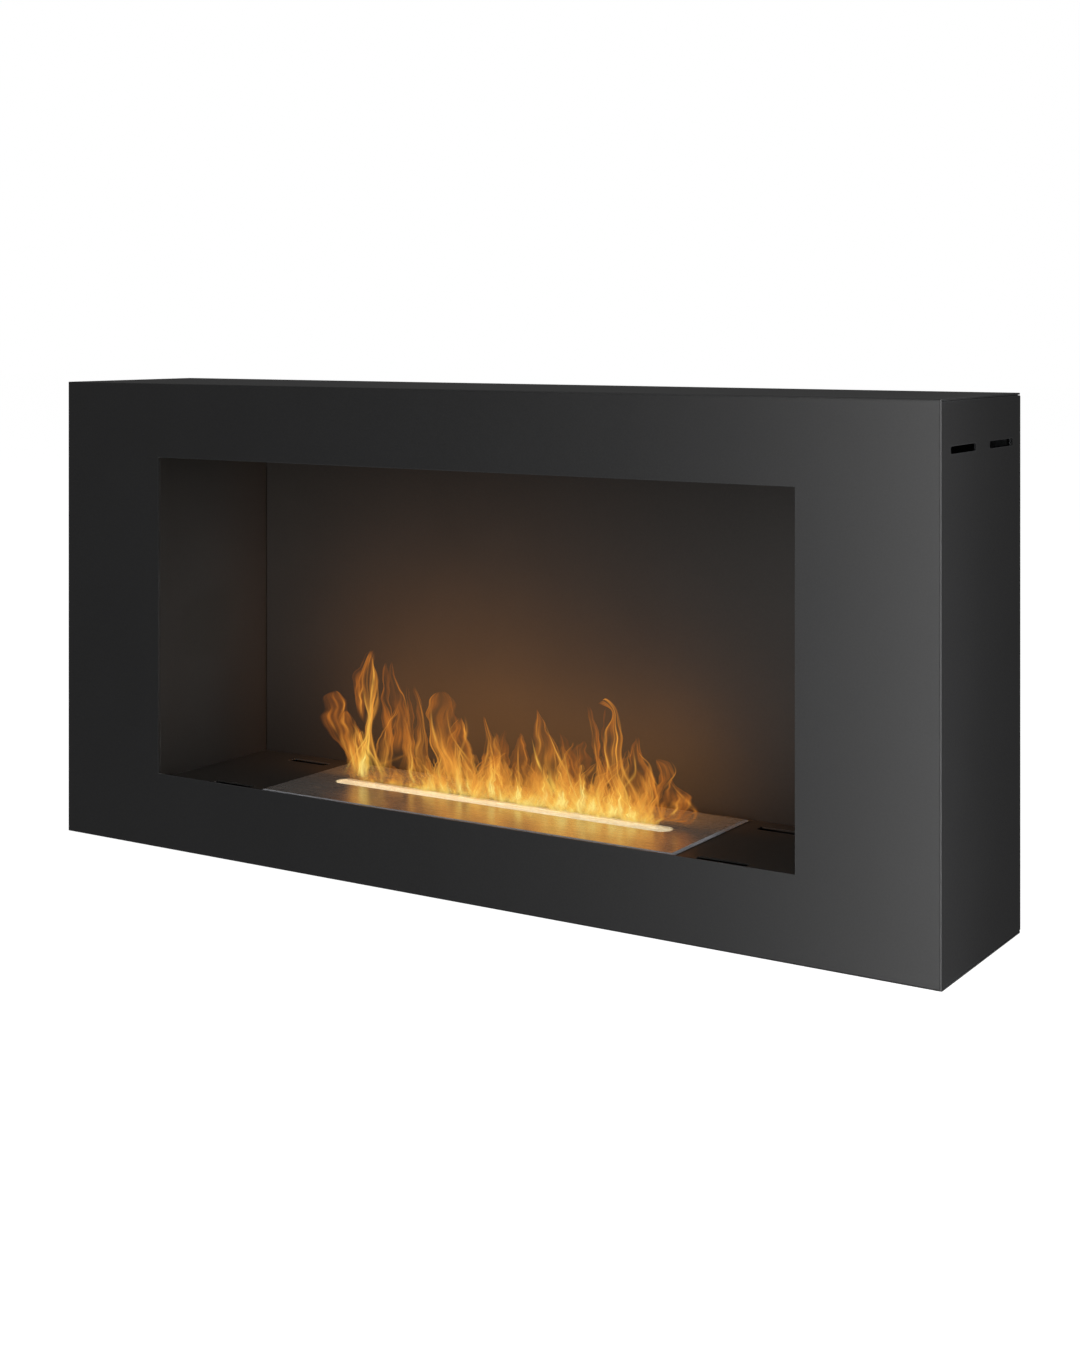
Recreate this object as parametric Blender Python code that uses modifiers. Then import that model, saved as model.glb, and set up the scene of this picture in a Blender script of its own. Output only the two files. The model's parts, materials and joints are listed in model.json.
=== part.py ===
"""Wall-hung bio-ethanol fireplace: a folded steel case round an open firebox, with a lift-out burner.

Metres, +Z up. The front faces -Y and the wall is at +Y. The origin is under the middle of the case.
Each sub-part is one named object. Touching pieces keep a gap of FIT.
"""
import math

import bmesh
import bpy
from mathutils import Matrix, Vector

MM = 0.001
FIT = 0.3 * MM

# Driving dimensions: the case and its opening
CASE_WIDTH = 900 * MM
CASE_DEPTH = 177 * MM
CASE_HEIGHT = 440 * MM
OPENING_WIDTH = 662 * MM
OPENING_HEIGHT = 300 * MM
OPENING_BOTTOM = 70 * MM
CASE_SHEET = 1.5 * MM
LIP_WIDTH = 12 * MM
CASE_BEND = 1.5 * MM
SEAM_GAP = 0.5 * MM
CORNER_NOTCH = 2.5 * MM

# Vents near the top of each side
VENT_LENGTH = 54 * MM
VENT_HEIGHT = 6 * MM
VENT_CORNER = 2.2 * MM
VENT_LEVEL = 401 * MM
VENT_SPREAD = 42 * MM

# Firebox
LINER_SHEET = 1.2 * MM
LINER_BEND = 2 * MM
FIREBOX_BACK = 70.3 * MM
FLOOR_TOP = 65 * MM
FLANGE = 22 * MM
REAR_FLANGE = 15 * MM
SKIRT_BOTTOM = 45 * MM
BACK_CORNER = 3 * MM
CUTOUT_CORNER = 4 * MM
SLIT_LENGTH = 46 * MM
SLIT_WIDTH = 10.5 * MM
SLIT_CORNER = 1.5 * MM
SLIT_SPREAD = 257 * MM
SLIT_ROWS = (-67.4 * MM, 46.5 * MM)

# Supports
SHIELD_WIDTH = 600 * MM
SHIELD_RISE = 37.5 * MM
SHIELD_FOOT = 18 * MM
SHIELD_FRONT = -70 * MM
BEARER_WIDTH = 30 * MM
BEARER_FOOT = 13 * MM
BEARER_SPREAD = 300 * MM
BEARER_FRONT = -62 * MM
SUPPORT_REAR = 60 * MM
TRAY_SHEET = 1 * MM
TRAY_BEND = 2 * MM
TRAY_HEIGHT = 12.5 * MM
TRAY_MARGINS = (15 * MM, 11.25 * MM)

# Burner
PLATE_LENGTH = 433 * MM
PLATE_WIDTH = 138 * MM
PLATE_TOP = 67 * MM
PLATE_RIM = 3.5 * MM
PLATE_EDGE = 0.3 * MM
BURNER_CENTRE_Y = -6.5 * MM
SLOT_LENGTH = 358 * MM
SLOT_WIDTH = 20 * MM
SLOT_CENTRE_Y = -7.8 * MM
TANK_LENGTH = 400 * MM
TANK_WIDTH = 96 * MM
TANK_DEPTH = 46 * MM
TANK_PLAY = 4 * MM
TANK_BEND = 3 * MM
WOOL_JOINT_X = -168.3 * MM
WOOL_PROUD = 0.2 * MM
WOOL_PLAY = 0.6 * MM
BED_PLAY = 2 * MM
BED_DROP = 3 * MM
BED_CORNER = 5 * MM

# Rear
PANEL_FRONT = 77.5 * MM
PANEL_WIDTH = 873 * MM
PANEL_HEIGHT = 413 * MM
PANEL_CORNER = 4 * MM
POST_WEB = 8 * MM
POST_FLANGE = 30 * MM
RAIL_SHEET = 2 * MM
RAIL_LENGTH = 600 * MM
RAIL_TOP = 385 * MM
RAIL_HEIGHT = 40 * MM
HOOK_REACH = 7.3 * MM
HOOK_LIP = 19 * MM
BRACKET_LENGTH = 560 * MM
BRACKET_STEP = 362 * MM
BRACKET_DROP = 30 * MM
BRACKET_PLAY = 0.6 * MM
WALL_SLOT_LENGTH = 14 * MM
WALL_SLOT_HEIGHT = 6 * MM
WALL_SLOT_LEVEL = 345 * MM
WALL_SLOT_PLACES = (-250 * MM, -80 * MM, 80 * MM, 250 * MM)
BUMPER_X = 380 * MM
BUMPER_LEVEL = 45 * MM

# Worked out from those
HALF_WIDTH = CASE_WIDTH / 2
FRONT_Y = -CASE_DEPTH / 2
REAR_Y = CASE_DEPTH / 2
HALF_OPENING = OPENING_WIDTH / 2
OPENING_TOP = OPENING_BOTTOM + OPENING_HEIGHT
FLANGE_Y = FRONT_Y + CASE_SHEET + FIT
LINER_REAR_Y = FIREBOX_BACK - FIT
BACK_REAR_Y = FIREBOX_BACK + LINER_SHEET
PLATE_BOTTOM = FLOOR_TOP + FIT
TANK_TOP = PLATE_BOTTOM - FIT
TANK_BOTTOM = TANK_TOP - TANK_DEPTH
CASE_INSIDE = HALF_WIDTH - CASE_SHEET
CASE_FLOOR = CASE_SHEET + FIT
PANEL_REAR = PANEL_FRONT + LINER_SHEET
PANEL_SEAT = PANEL_REAR + FIT
REACH = 5 * MM          # how far a cutter runs past the face it cuts

# Fasteners
STUD_RADIUS = 2 * MM
STUD_HOLE_RADIUS = 2.5 * MM
STUD_END = FRONT_Y + 9.5 * MM
SIDE_STUD_LEVELS = (120 * MM, 320 * MM)
FLANGE_STUD_X = 200 * MM
SCREW_HOLE_RADIUS = 2.4 * MM
SCREW_X = 427 * MM
SCREW_LEVELS = (60 * MM, 205 * MM, 350 * MM)
RIVET_HOLE_RADIUS = 2 * MM
RIVET_LEVELS = (120 * MM, 320 * MM)
RIVET_X = HALF_OPENING + FLANGE / 2


# ---------------------------------------------------------------- scene and materials

def clear_scene():
    for old in list(bpy.data.objects):
        bpy.data.objects.remove(old, do_unlink=True)


def new_collection(name):
    collection = bpy.data.collections.new(name)
    bpy.context.scene.collection.children.link(collection)
    return collection


def new_material(name, colour, roughness, metallic):
    material = bpy.data.materials.new(name)
    material.use_nodes = True
    shader = material.node_tree.nodes["Principled BSDF"]
    shader.inputs["Base Color"].default_value = (*colour, 1)
    shader.inputs["Roughness"].default_value = roughness
    shader.inputs["Metallic"].default_value = metallic
    return material


clear_scene()
PARTS = new_collection("bioethanol_fireplace")
CUTTERS = new_collection("cutters")

CASE_BLACK = new_material("case_black", (0.028, 0.028, 0.029), 0.55, 0.0)
LINER_BLACK = new_material("liner_black", (0.020, 0.019, 0.018), 0.60, 0.0)
GALVANISED = new_material("galvanised_steel", (0.42, 0.43, 0.44), 0.45, 1.0)
STAINLESS = new_material("brushed_stainless", (0.52, 0.50, 0.48), 0.32, 1.0)
ZINC = new_material("zinc_fastener", (0.60, 0.60, 0.58), 0.35, 1.0)
WOOL = new_material("ceramic_wool", (0.86, 0.79, 0.66), 0.95, 0.0)
RUBBER = new_material("rubber", (0.025, 0.025, 0.025), 0.80, 0.0)


def add_object(name, mesh, collection, material=None):
    added = bpy.data.objects.new(name, mesh)
    collection.objects.link(added)
    if material:
        mesh.materials.append(material)
    return added


# ---------------------------------------------------------------- shapes

def add_block(bm, low, high, round_axis=None, radius=0.0, segments=4):
    """A box from its low to its high corner, with the four edges along round_axis rounded."""
    low, high = Vector(low), Vector(high)
    size = high - low
    place = Matrix.Translation((low + high) / 2) @ Matrix.Diagonal((*size, 1))
    corners = bmesh.ops.create_cube(bm, size=1, matrix=place)["verts"]
    if round_axis is None:
        return
    edges = {edge for corner in corners for edge in corner.link_edges}
    along = [e for e in edges if abs((e.verts[0].co - e.verts[1].co)[round_axis]) > size[round_axis] / 2]
    bmesh.ops.bevel(bm, geom=along, offset=radius, segments=segments, affect="EDGES", profile=0.5)


def add_rod(bm, centre, axis, radius, length, segments=12):
    """A closed cylinder about the row's X (0), Y (1) or Z (2) axis."""
    turn = Vector((0, 0, 1)).rotation_difference(Vector([float(i == axis) for i in range(3)]))
    place = Matrix.Translation(centre) @ turn.to_matrix().to_4x4()
    bmesh.ops.create_cone(bm, cap_ends=True, segments=segments, radius1=radius, radius2=radius,
                          depth=length, matrix=place)


def mesh_from(bm, name):
    mesh = bpy.data.meshes.new(name)
    bm.to_mesh(mesh)
    bm.free()
    return mesh


def block(name, low, high, material, round_axis=None, radius=0.0, segments=4):
    bm = bmesh.new()
    add_block(bm, low, high, round_axis, radius, segments)
    return add_object(name, mesh_from(bm, name), PARTS, material)


def cutter(name, shapes):
    """One cutter made of all the shapes, each a call that adds a closed body to the mesh."""
    bm = bmesh.new()
    for shape in shapes:
        shape(bm)
    tool = add_object(name, mesh_from(bm, name), CUTTERS)
    tool.hide_render = True
    tool.display_type = "WIRE"
    return tool


def combine(part, tool, operation="DIFFERENCE", crossing=False):
    """Cut the part with the tool, or join them. crossing is for a tool whose own bodies cross."""
    boolean = part.modifiers.new(tool.name, "BOOLEAN")
    boolean.operation = operation
    boolean.solver = "EXACT"
    boolean.use_self = crossing
    boolean.object = tool


def solidify(part, thickness, offset):
    sheet = part.modifiers.new("sheet", "SOLIDIFY")
    sheet.thickness = thickness
    sheet.offset = offset
    sheet.use_even_offset = True


def bend_edges(part, radius, by_weight=False):
    bend = part.modifiers.new("bends", "BEVEL")
    bend.width = radius
    bend.segments = 3
    bend.limit_method = "WEIGHT" if by_weight else "ANGLE"


def on_axis(axis, across, up, along):
    """A profile point (across, up) and its place along the axis, as row X, Y, Z."""
    if axis == 0:
        return (along, across, up)
    if axis == 1:
        return (up, along, across)
    return (across, up, along)


def bent_sheet(name, profile, axis, start, end, thickness, side, material):
    """A folded sheet: the profile drawn along an axis, thickened to its left (-1) or right (+1).

    The profile is in (Y, Z) for axis X, (Z, X) for axis Y and (X, Y) for axis Z.
    """
    bm = bmesh.new()
    near = [bm.verts.new(on_axis(axis, a, b, start)) for a, b in profile]
    line = [bm.edges.new(pair) for pair in zip(near, near[1:])]
    moved = bmesh.ops.extrude_edge_only(bm, edges=line)
    far = [item for item in moved["geom"] if isinstance(item, bmesh.types.BMVert)]
    bmesh.ops.translate(bm, verts=far, vec=on_axis(axis, 0, 0, end - start))
    bmesh.ops.recalc_face_normals(bm, faces=bm.faces[:])
    (across, up), (next_across, next_up) = profile[:2]
    rightward = Vector(on_axis(axis, next_up - up, across - next_across, 0))
    if near[0].link_faces[0].normal.dot(rightward) < 0:
        bmesh.ops.reverse_faces(bm, faces=bm.faces[:])
    part = add_object(name, mesh_from(bm, name), PARTS, material)
    bend_edges(part, LINER_BEND)
    solidify(part, thickness, side)
    return part


def open_box(name, low, high, thickness, radius, material):
    """A box without its lid, thickened inward."""
    bm = bmesh.new()
    add_block(bm, low, high)
    lid = max(bm.faces, key=lambda face: face.calc_center_median().z)
    bmesh.ops.delete(bm, geom=[lid], context="FACES_ONLY")
    part = add_object(name, mesh_from(bm, name), PARTS, material)
    bend_edges(part, radius)
    solidify(part, thickness, -1)
    return part


def turned(name, profile, steps, material):
    """A solid turned about local Z from a profile in (radius, height), top to bottom."""
    bm = bmesh.new()
    points = [bm.verts.new((radius, 0, height)) for radius, height in profile]
    for pair in zip(points, points[1:]):
        bm.edges.new(pair)
    part = add_object(name, mesh_from(bm, name), PARTS, material)
    lathe = part.modifiers.new("lathe", "SCREW")
    lathe.steps = steps
    lathe.render_steps = steps
    lathe.use_merge_vertices = True
    lathe.merge_threshold = 0.01 * MM
    return part


def point_backwards(part, place):
    """Turn local Z to the row's +Y and move the part there."""
    part.rotation_euler = (-math.pi / 2, 0, 0)
    part.location = place


def repeat(first, name, place):
    """Another of the same piece, sharing its mesh and its modifiers."""
    again = bpy.data.objects.new(name, first.data)
    PARTS.objects.link(again)
    point_backwards(again, place)
    return again


def apply_modifiers(part):
    bpy.context.view_layer.update()
    evaluated = part.evaluated_get(bpy.context.evaluated_depsgraph_get())
    mesh = bpy.data.meshes.new_from_object(evaluated)
    part.modifiers.clear()
    part.data = mesh
    mesh.set_sharp_from_angle(angle=math.radians(35))


# ---------------------------------------------------------------- case

def stud_places():
    """Weld studs behind the front: two on each side wall's flange, two on the roof's, two on the floor's."""
    side_x = HALF_OPENING + FLANGE / 2
    roof_z = OPENING_TOP + FLANGE / 2
    floor_z = FLOOR_TOP - FLANGE / 2
    places = [(sign * side_x, level) for sign in (-1, 1) for level in SIDE_STUD_LEVELS]
    places += [(sign * FLANGE_STUD_X, level) for level in (roof_z, floor_z) for sign in (-1, 1)]
    return places


def stud_shapes(places):
    length = STUD_END - FRONT_Y - CASE_SHEET / 2
    middle = STUD_END - length / 2
    return [lambda bm, x=x, z=z: add_rod(bm, (x, middle, z), 1, STUD_RADIUS, length) for x, z in places]


def stud_holes(name, places):
    return cutter(name, [lambda bm, x=x, z=z: add_rod(bm, (x, FLANGE_Y, z), 1, STUD_HOLE_RADIUS, 2 * REACH)
                         for x, z in places])


def case_surface():
    """The case's outer skin: a box with the rear face cut back to its lips, and the bends marked."""
    bm = bmesh.new()
    add_block(bm, (-HALF_WIDTH, FRONT_Y, 0), (HALF_WIDTH, REAR_Y, CASE_HEIGHT))
    rear = max(bm.faces, key=lambda face: face.calc_center_median().y)
    bmesh.ops.inset_region(bm, faces=[rear], thickness=LIP_WIDTH)
    bmesh.ops.delete(bm, geom=[rear], context="FACES")
    weight = bm.edges.layers.float.new("bevel_weight_edge")
    for edge in bm.edges:
        level = (edge.verts[0].co.y + edge.verts[1].co.y) / 2
        if len(edge.link_faces) == 2 and abs(edge.calc_face_angle()) > 1 and abs(level) > REAR_Y / 2:
            edge[weight] = 1
    return mesh_from(bm, "outer_case")


def seam_shapes():
    """The seams under the top and over the bottom return, and the open corners of the rear lips."""
    past_bend = FRONT_Y + CASE_BEND + CASE_SHEET
    shapes = []
    for sign in (-1, 1):
        inner, outer = sorted((sign * (CASE_INSIDE - SEAM_GAP), sign * (HALF_WIDTH + REACH)))
        corner_in, corner_out = sorted((sign * (HALF_WIDTH - CORNER_NOTCH), sign * (HALF_WIDTH + REACH)))
        for corner, inward in ((CASE_HEIGHT, -1), (0, 1)):
            depths = (CASE_SHEET, CASE_SHEET + SEAM_GAP)
            seam_low, seam_high = sorted(corner + inward * depth for depth in depths)
            low_z, high_z = sorted((corner + inward * CORNER_NOTCH, corner - inward * REACH))
            shapes.append(lambda bm, a=inner, b=outer, c=seam_low, d=seam_high: add_block(
                bm, (a, past_bend, c), (b, REAR_Y + REACH, d)))
            shapes.append(lambda bm, a=corner_in, b=corner_out, c=low_z, d=high_z: add_block(
                bm, (a, REAR_Y - CORNER_NOTCH, c), (b, REAR_Y + REACH, d)))
            shapes.append(lambda bm, s=sign, z=corner: add_mitre(bm, s, z))
    return shapes


def add_mitre(bm, sign, corner_z):
    """A diagonal saw cut through two rear lips at one corner."""
    half = (LIP_WIDTH + REACH) / math.sqrt(2)
    centre = Vector((sign * (HALF_WIDTH - LIP_WIDTH / 2), REAR_Y, abs(corner_z - LIP_WIDTH / 2)))
    lean = math.pi / 4 if (sign > 0) == (corner_z > 0) else -math.pi / 4
    place = (Matrix.Translation(centre) @ Matrix.Rotation(-lean, 4, "Y")
             @ Matrix.Diagonal((2 * half, 3 * CASE_SHEET, SEAM_GAP, 1)))
    bmesh.ops.create_cube(bm, size=1, matrix=place)


def make_case():
    case = add_object("outer_case", case_surface(), PARTS, CASE_BLACK)
    bend_edges(case, CASE_BEND, by_weight=True)
    solidify(case, CASE_SHEET, -1)
    combine(case, cutter("case_studs", stud_shapes(stud_places())), "UNION")
    opening = [lambda bm: add_block(bm, (-HALF_OPENING, FRONT_Y - REACH, OPENING_BOTTOM),
                                    (HALF_OPENING, FRONT_Y + REACH, OPENING_TOP))]
    low, high = VENT_LEVEL - VENT_HEIGHT / 2, VENT_LEVEL + VENT_HEIGHT / 2
    vents = [lambda bm, y=y: add_block(bm, (-HALF_WIDTH - REACH, y - VENT_LENGTH / 2, low),
                                       (HALF_WIDTH + REACH, y + VENT_LENGTH / 2, high), 0, VENT_CORNER)
             for y in (-VENT_SPREAD, VENT_SPREAD)]
    combine(case, cutter("case_openings", opening + vents))
    combine(case, cutter("case_seams", seam_shapes()), crossing=True)


# ---------------------------------------------------------------- firebox

def make_side_walls():
    for side, sign in (("left", -1), ("right", 1)):
        outer = HALF_OPENING + FLANGE
        profile = [(sign * x, y) for x, y in ((outer, FLANGE_Y), (HALF_OPENING, FLANGE_Y),
                                              (HALF_OPENING, LINER_REAR_Y), (outer, LINER_REAR_Y))]
        name = "firebox_wall_" + side
        wall = bent_sheet(name, profile, 2, SKIRT_BOTTOM, OPENING_TOP - FIT, LINER_SHEET, sign, LINER_BLACK)
        beside = [place for place in stud_places() if place[0] * sign > HALF_OPENING]
        combine(wall, stud_holes(name + "_stud_holes", beside))
        combine(wall, rivet_holes(name + "_rivet_holes", sign))


def rivet_holes(name, sign):
    return cutter(name, [lambda bm, z=z: add_rod(bm, (sign * RIVET_X, FIREBOX_BACK, z), 1, RIVET_HOLE_RADIUS,
                                                 2 * REACH) for z in RIVET_LEVELS])


def make_back_wall():
    half = HALF_OPENING + FLANGE
    top = OPENING_TOP + REAR_FLANGE
    wall = block("firebox_back", (-half, FIREBOX_BACK, SKIRT_BOTTOM), (half, BACK_REAR_Y, top), LINER_BLACK,
                 1, BACK_CORNER, 2)
    for side, sign in (("left", -1), ("right", 1)):
        combine(wall, rivet_holes("firebox_back_holes_" + side, sign))


def make_roof():
    half = HALF_OPENING + FLANGE
    profile = [(FLANGE_Y, OPENING_TOP + FLANGE), (FLANGE_Y, OPENING_TOP), (LINER_REAR_Y, OPENING_TOP),
               (LINER_REAR_Y, OPENING_TOP + REAR_FLANGE)]
    roof = bent_sheet("firebox_roof", profile, 0, -half, half, LINER_SHEET, -1, LINER_BLACK)
    combine(roof, stud_holes("roof_stud_holes", [place for place in stud_places() if place[1] > OPENING_TOP]))


def make_floor():
    half = HALF_OPENING - FIT
    profile = [(FLANGE_Y, FLOOR_TOP - FLANGE), (FLANGE_Y, FLOOR_TOP), (LINER_REAR_Y, FLOOR_TOP),
               (LINER_REAR_Y, FLOOR_TOP - REAR_FLANGE)]
    floor = bent_sheet("firebox_floor", profile, 0, -half, half, LINER_SHEET, 1, LINER_BLACK)
    combine(floor, stud_holes("floor_stud_holes", [place for place in stud_places() if place[1] < FLOOR_TOP]))
    half_x = TANK_LENGTH / 2 + TANK_PLAY
    half_y = TANK_WIDTH / 2 + TANK_PLAY
    shapes = [lambda bm: add_block(bm, (-half_x, BURNER_CENTRE_Y - half_y, FLOOR_TOP - REACH),
                                   (half_x, BURNER_CENTRE_Y + half_y, FLOOR_TOP + REACH), 2, CUTOUT_CORNER)]
    for x in (-SLIT_SPREAD, SLIT_SPREAD):
        for y in SLIT_ROWS:
            shapes.append(lambda bm, x=x, y=y: add_block(
                bm, (x - SLIT_LENGTH / 2, y - SLIT_WIDTH / 2, FLOOR_TOP - REACH),
                (x + SLIT_LENGTH / 2, y + SLIT_WIDTH / 2, FLOOR_TOP + REACH), 2, SLIT_CORNER, 2))
    combine(floor, cutter("floor_cutouts", shapes))


def hat_section(name, width, rise, base, foot, start, end, x_centre):
    """A galvanised hat channel running along Y: feet on the base, the crown raised by rise."""
    half = width / 2
    top = base + rise - LINER_SHEET
    profile = [(base, x_centre - half - foot), (base, x_centre - half), (top, x_centre - half),
               (top, x_centre + half), (base, x_centre + half), (base, x_centre + half + foot)]
    return bent_sheet(name, profile, 1, start, end, LINER_SHEET, 1, GALVANISED)


def make_supports():
    shield_base = OPENING_TOP + LINER_SHEET + FIT
    hat_section("roof_heat_shield", SHIELD_WIDTH, SHIELD_RISE, shield_base, SHIELD_FOOT, SHIELD_FRONT,
                SUPPORT_REAR, 0)
    rise = FLOOR_TOP - LINER_SHEET - FIT - CASE_FLOOR
    for side, sign in (("left", -1), ("right", 1)):
        hat_section("floor_bearer_" + side, BEARER_WIDTH, rise, CASE_FLOOR, BEARER_FOOT, BEARER_FRONT,
                    SUPPORT_REAR, sign * BEARER_SPREAD)
    half_x = TANK_LENGTH / 2 + TRAY_MARGINS[0]
    half_y = TANK_WIDTH / 2 + TRAY_MARGINS[1]
    open_box("safety_tray", (-half_x, BURNER_CENTRE_Y - half_y, CASE_FLOOR),
             (half_x, BURNER_CENTRE_Y + half_y, CASE_FLOOR + TRAY_HEIGHT), TRAY_SHEET, TRAY_BEND, GALVANISED)


# ---------------------------------------------------------------- burner

def add_slot(bm, inset, bottom, top):
    """The slot's round-ended outline, drawn in by inset."""
    half_x = SLOT_LENGTH / 2 - inset
    half_y = SLOT_WIDTH / 2 - inset
    add_block(bm, (-half_x, SLOT_CENTRE_Y - half_y, bottom), (half_x, SLOT_CENTRE_Y + half_y, top),
              2, half_y * 0.999, 8)


def make_burner_plate():
    half_x, half_y = PLATE_LENGTH / 2, PLATE_WIDTH / 2
    shoulder = PLATE_BOTTOM + PLATE_EDGE
    bm = bmesh.new()
    add_block(bm, (-half_x, BURNER_CENTRE_Y - half_y, PLATE_BOTTOM),
              (half_x, BURNER_CENTRE_Y + half_y, shoulder))
    top = max(bm.faces, key=lambda face: face.calc_center_median().z)
    bmesh.ops.inset_region(bm, faces=[top], thickness=PLATE_RIM, depth=0)
    bmesh.ops.translate(bm, verts=top.verts, vec=(0, 0, PLATE_TOP - shoulder))
    plate = add_object("burner_plate", mesh_from(bm, "burner_plate"), PARTS, STAINLESS)
    combine(plate, cutter("plate_slot", [
        lambda bm: add_slot(bm, 0, PLATE_BOTTOM - REACH, PLATE_TOP + REACH)]))


def make_tank():
    half_x, half_y = TANK_LENGTH / 2, TANK_WIDTH / 2
    open_box("burner_tank", (-half_x, BURNER_CENTRE_Y - half_y, TANK_BOTTOM),
             (half_x, BURNER_CENTRE_Y + half_y, TANK_TOP), LINER_SHEET, TANK_BEND, STAINLESS)


def make_wool():
    bed_top = PLATE_BOTTOM - BED_DROP
    half_x = TANK_LENGTH / 2 - LINER_SHEET - BED_PLAY
    half_y = TANK_WIDTH / 2 - LINER_SHEET - BED_PLAY
    block("wool_bed", (-half_x, BURNER_CENTRE_Y - half_y, TANK_BOTTOM + LINER_SHEET + FIT),
          (half_x, BURNER_CENTRE_Y + half_y, bed_top), WOOL, 2, BED_CORNER)
    strip_bottom = bed_top + FIT
    strip_top = PLATE_TOP + WOOL_PROUD
    half_gap = FIT / 2
    spans = {"wool_strip_long": (-HALF_WIDTH, WOOL_JOINT_X + half_gap),
             "wool_strip_short": (WOOL_JOINT_X - half_gap, HALF_WIDTH)}
    for name, (cut_from, cut_to) in spans.items():
        bm = bmesh.new()
        add_slot(bm, WOOL_PLAY, strip_bottom, strip_top)
        strip = add_object(name, mesh_from(bm, name), PARTS, WOOL)
        combine(strip, cutter(name + "_cut", [lambda bm, a=cut_from, b=cut_to: add_block(
            bm, (a, SLOT_CENTRE_Y - SLOT_WIDTH, strip_bottom - REACH),
            (b, SLOT_CENTRE_Y + SLOT_WIDTH, strip_top + REACH))]))


# ---------------------------------------------------------------- rear panel and wall fixing

def panel_screw_holes(name, sign):
    return cutter(name, [lambda bm, z=z: add_rod(bm, (sign * SCREW_X, PANEL_FRONT, z), 1, SCREW_HOLE_RADIUS,
                                                 2 * REACH) for z in SCREW_LEVELS])


def make_rear_panel():
    base = (CASE_HEIGHT - PANEL_HEIGHT) / 2
    panel = block("rear_panel", (-PANEL_WIDTH / 2, PANEL_FRONT, base),
                  (PANEL_WIDTH / 2, PANEL_REAR, base + PANEL_HEIGHT), CASE_BLACK, 1, PANEL_CORNER)
    post_x = CASE_INSIDE - FIT
    post_y = PANEL_FRONT - FIT
    for side, sign in (("left", -1), ("right", 1)):
        combine(panel, panel_screw_holes("rear_panel_holes_" + side, sign))
        profile = [(post_x, post_y - POST_WEB), (post_x, post_y), (post_x - POST_FLANGE, post_y)]
        profile = [(sign * x, y) for x, y in profile]
        name = "rear_post_" + side
        post = bent_sheet(name, profile, 2, base, base + PANEL_HEIGHT, LINER_SHEET, -sign, GALVANISED)
        combine(post, panel_screw_holes(name + "_holes", sign))


def make_hanger():
    hook_rear = PANEL_SEAT + HOOK_REACH
    profile = [(PANEL_SEAT, RAIL_TOP - RAIL_HEIGHT), (PANEL_SEAT, RAIL_TOP), (hook_rear, RAIL_TOP),
               (hook_rear, RAIL_TOP - HOOK_LIP)]
    bent_sheet("hanger_rail", profile, 0, -RAIL_LENGTH / 2, RAIL_LENGTH / 2, RAIL_SHEET, 1, GALVANISED)


def make_wall_bracket():
    tongue_front = PANEL_SEAT + RAIL_SHEET + BRACKET_PLAY
    tongue_top = RAIL_TOP - RAIL_SHEET - FIT
    wall_side = REAR_Y - RAIL_SHEET
    profile = [(tongue_front, tongue_top), (tongue_front, BRACKET_STEP), (wall_side, BRACKET_STEP),
               (wall_side, BRACKET_STEP - BRACKET_DROP)]
    half = BRACKET_LENGTH / 2
    bracket = bent_sheet("wall_bracket", profile, 0, -half, half, RAIL_SHEET, -1, GALVANISED)
    half_x, half_z = WALL_SLOT_LENGTH / 2, WALL_SLOT_HEIGHT / 2
    combine(bracket, cutter("bracket_slots", [lambda bm, x=x: add_block(
        bm, (x - half_x, wall_side - REACH, WALL_SLOT_LEVEL - half_z),
        (x + half_x, REAR_Y + REACH, WALL_SLOT_LEVEL + half_z), 1, half_z * 0.999)
        for x in WALL_SLOT_PLACES]))


def make_bumpers():
    length = REAR_Y - PANEL_SEAT
    profile = [(0, length), (9.5 * MM, length), (11 * MM, length - 1.5 * MM), (12 * MM, 0), (0, 0)]
    for side, sign in (("left", -1), ("right", 1)):
        bumper = turned("wall_bumper_" + side, profile, 24, RUBBER)
        point_backwards(bumper, (sign * BUMPER_X, PANEL_SEAT, BUMPER_LEVEL))
        apply_modifiers(bumper)


# ---------------------------------------------------------------- fasteners

def make_screws():
    profile = [(0, 2.3), (1.6, 2.15), (2.9, 1.6), (3.6, 0.8), (3.7, 0), (1.75, 0), (1.75, -6.5), (1.1, -7.5),
               (0, -7.5)]
    first = turned("rear_screw_1", [(r * MM, z * MM) for r, z in profile], 16, ZINC)
    arm, web, top = 1.9 * MM, 0.4 * MM, 2.3 * MM
    recess = cutter("screw_recess", [
        lambda bm: add_block(bm, (-arm, -web, top - 1.3 * MM), (arm, web, top + MM)),
        lambda bm: add_block(bm, (-web, -arm, top - 1.2 * MM), (web, arm, top + MM))])
    combine(first, recess, crossing=True)
    apply_modifiers(first)
    places = [(sign * SCREW_X, PANEL_SEAT, z) for sign in (-1, 1) for z in SCREW_LEVELS]
    point_backwards(first, places[0])
    for number, place in enumerate(places[1:], 2):
        repeat(first, "rear_screw_%d" % number, place)


def make_nuts():
    height = 3.2 * MM
    bm = bmesh.new()
    add_rod(bm, (0, 0, height / 2), 2, 7 * MM / math.sqrt(3), height, 6)
    first = add_object("liner_nut_1", mesh_from(bm, "liner_nut"), PARTS, ZINC)
    bore_radius = STUD_RADIUS + FIT
    combine(first, cutter("nut_bore", [
        lambda bm: add_rod(bm, (0, 0, height / 2), 2, bore_radius, 3 * height)]))
    apply_modifiers(first)
    seat = FLANGE_Y + LINER_SHEET + FIT
    places = [(x, seat, z) for x, z in stud_places()]
    point_backwards(first, places[0])
    for number, place in enumerate(places[1:], 2):
        repeat(first, "liner_nut_%d" % number, place)


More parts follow.
